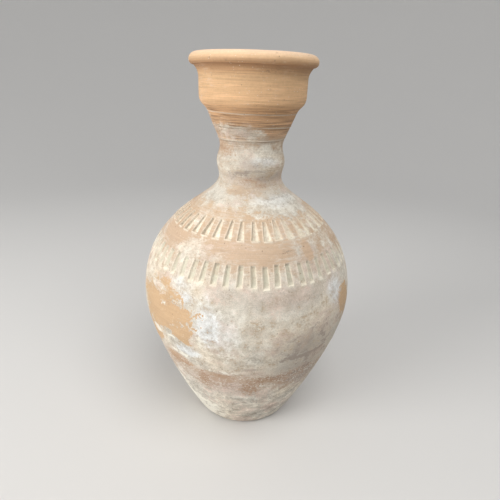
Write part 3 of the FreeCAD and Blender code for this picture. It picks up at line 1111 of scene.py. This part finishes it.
def make_rim():
    widest = at(RIM_RADIUS, RIM_SWELL)
    crown = at(RIM_CROWN_RADIUS, JAR_HEIGHT)
    side = rounded(widest, at(LIP_RADIUS, LIP_TOP))[::-1]
    over = rounded(widest, crown)
    back = rounded(at(MOUTH_RADIUS, LIP_TOP), crown)[::-1]
    outer = spaced(joined(side, over, back), RIM_SPACING)
    under = spaced([outer[-1], outer[0]], RIM_UNDER_SPACING)[1:-1]
    return thrown("rolled_rim_ring", outer, under, COARSE_COLUMNS,
                  coat("buff rim clay", "rolled_rim", smooth=1.0))


slab_seam = (on_line(OUTSIDE, FLOOR_THICK), on_line(INSIDE, FLOOR_THICK))
body_seam = seam(BODY_SEAM)
shoulder_seam = seam(SHOULDER_SEAM)
neck_seam = seam(NECK_SEAM)
cup_seam = seam(CUP_SEAM)
lip_seam = (at(LIP_RADIUS, LIP_TOP), at(MOUTH_RADIUS, LIP_TOP))

pieces = {}
pieces["base_slab"] = make_base_slab()
pieces["lower_bowl"] = ring("lower_body_bowl", slab_seam, body_seam, 0.0018, FINE_COLUMNS,
                            coat("chalked lower clay", "lower_bowl"),
                            seam_climb=climb_of(BODY_SEAM))
pieces["upper_bowl"] = ring("upper_body_bowl", body_seam, shoulder_seam, 0.0017, FINE_COLUMNS,
                            coat("chalked belly clay", "upper_bowl", filling="green"),
                            seam_climb=climb_of(BODY_SEAM),
                            flutes=LOWER_FLUTES, **band_of(LOWER_BAND),
                            flute_share=0.46, flute_depth=0.0016, burr=0.0004, flute_lean=0.2)
pieces["shoulder"] = ring("fluted_shoulder", shoulder_seam, neck_seam, 0.0011, FINE_COLUMNS,
                          coat("fluted shoulder clay", "shoulder", filling="pale"),
                          flutes=UPPER_FLUTES, **band_of(UPPER_BAND),
                          flute_share=0.47, flute_depth=0.0018, burr=0.0007, flute_taper=0.28)
pieces["neck_with_collar"] = ring("collared_neck", neck_seam, cup_seam, 0.001, COARSE_COLUMNS,
                                  coat("chalked neck clay", "neck_with_collar"))
pieces["mouth_cup"] = ring("flared_mouth_cup", cup_seam, lip_seam, 0.0008, COARSE_COLUMNS,
                           coat("tan cup clay", "mouth_cup", smooth=0.8, ridged=True),
                           ridges=[climb_of(height) for height in WHEEL_RIDGES])
pieces["rolled_rim"] = make_rim()

for node, piece in pieces.items():
    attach(piece, "root")
    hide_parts(node)

# ---------------------------------------------------------------------------------------------
# Floor, light and camera
# ---------------------------------------------------------------------------------------------

FLOOR_REACH = 1.3
FLOOR_COLOUR = (0.64, 0.63, 0.615, 1.0)
FLOOR_ROUGHNESS = 0.9
SWEEP_RADIUS = 1.8
SWEEP_STEPS = 16
FLOOR_SIDES = 96
FLOOR_MIDDLE = 0.3         # a ring of the floor's mesh, as a share of its reach
JAR_MIDDLE = Vector((0.0, 0.0, 0.5 * JAR_HEIGHT))

Lamp = namedtuple("Lamp", "name left above distance size power")
LAMPS = (
    Lamp("window", 60.0, 15.0, 1.9, 1.05, 29.5),
    Lamp("fill", -30.0, 61.0, 1.7, 1.2, 18.0),
)
DAYLIGHT = (1.0, 0.985, 0.96)
SKY_COLOUR = (0.9, 0.92, 0.95, 1.0)
SKY_STRENGTH = 0.5


def floor_paint():
    material = bpy.data.materials.new("studio floor")
    material.use_nodes = True
    shader = material.node_tree.nodes["Principled BSDF"]
    shader.inputs["Base Color"].default_value = FLOOR_COLOUR
    shader.inputs["Roughness"].default_value = FLOOR_ROUGHNESS
    return material


def make_floor():
    """A wide floor whose far edge sweeps up all round into a backdrop."""
    sweep = [at(0.0, 0.0), at(FLOOR_MIDDLE * FLOOR_REACH, 0.0), at(FLOOR_REACH, 0.0)]
    for step in range(1, SWEEP_STEPS + 1):
        angle = math.radians(90) * step / SWEEP_STEPS
        sweep.append(at(FLOOR_REACH + SWEEP_RADIUS * math.sin(angle),
                        SWEEP_RADIUS * (1.0 - math.cos(angle))))
    points = []
    faces = []
    for corner in sweep:
        for n in range(FLOOR_SIDES):
            points.append(Matrix.Rotation(math.tau * n / FLOOR_SIDES, 3, "Z") @ corner)
    for row in range(len(sweep) - 1):
        for n in range(FLOOR_SIDES):
            a, b = row * FLOOR_SIDES + n, row * FLOOR_SIDES + (n + 1) % FLOOR_SIDES
            faces.append((a, a + FLOOR_SIDES, b + FLOOR_SIDES, b))
    mesh = bpy.data.meshes.new("floor")
    mesh.from_pydata(points, [], faces)
    shape = bmesh.new()
    shape.from_mesh(mesh)
    bmesh.ops.remove_doubles(shape, verts=shape.verts, dist=0.0001)
    shape.to_mesh(mesh)
    shape.free()
    mesh.polygons.foreach_set("use_smooth", [True] * len(mesh.polygons))
    floor = bpy.data.objects.new("floor", mesh)
    floor.data.materials.append(floor_paint())
    bpy.context.scene.collection.objects.link(floor)


def around_jar(left, above, distance):
    """A place so many degrees to the left of the jar's front and above its middle."""
    across = distance * math.cos(math.radians(above))
    return JAR_MIDDLE + Vector((-across * math.sin(math.radians(left)),
                                -across * math.cos(math.radians(left)),
                                distance * math.sin(math.radians(above))))


def make_lamp(lamp):
    """A soft round lamp that points at the middle of the jar."""
    light = bpy.data.lights.new(lamp.name, "AREA")
    light.shape = "DISK"
    light.size = lamp.size
    light.energy = lamp.power
    light.color = DAYLIGHT
    holder = bpy.data.objects.new(lamp.name, light)
    bpy.context.scene.collection.objects.link(holder)
    place = around_jar(lamp.left, lamp.above, lamp.distance)
    holder.location = place
    holder.rotation_mode = "QUATERNION"
    holder.rotation_quaternion = (JAR_MIDDLE - place).to_track_quat("-Z", "Y")


CAMERA_BACK = 0.4635
CAMERA_HEIGHT = 0.4219
CAMERA_PITCH = math.radians(23.0)
CAMERA_ROLL = math.radians(2.0)
CAMERA_YAW = math.radians(-0.35)
CAMERA_LENS = 28.44
CAMERA_SENSOR = 36.0
CAMERA_NEAR = 0.01


def make_camera():
    camera = bpy.data.objects.new("camera", bpy.data.cameras.new("camera"))
    camera.data.lens = CAMERA_LENS
    camera.data.sensor_width = CAMERA_SENSOR
    camera.data.clip_start = CAMERA_NEAR
    bpy.context.scene.collection.objects.link(camera)
    turned = (Matrix.Rotation(CAMERA_YAW, 4, "Z")
              @ Matrix.Rotation(math.radians(90) - CAMERA_PITCH, 4, "X")
              @ Matrix.Rotation(CAMERA_ROLL, 4, "Z"))
    camera.matrix_world = Matrix.Translation((0.0, -CAMERA_BACK, CAMERA_HEIGHT)) @ turned
    bpy.context.scene.camera = camera


make_floor()
for lamp in LAMPS:
    make_lamp(lamp)
make_camera()

world = bpy.data.worlds.new("studio")
world.use_nodes = True
sky = world.node_tree.nodes["Background"]
sky.inputs["Color"].default_value = SKY_COLOUR
sky.inputs["Strength"].default_value = SKY_STRENGTH
bpy.context.scene.world = world
bpy.context.scene.view_settings.view_transform = "Standard"
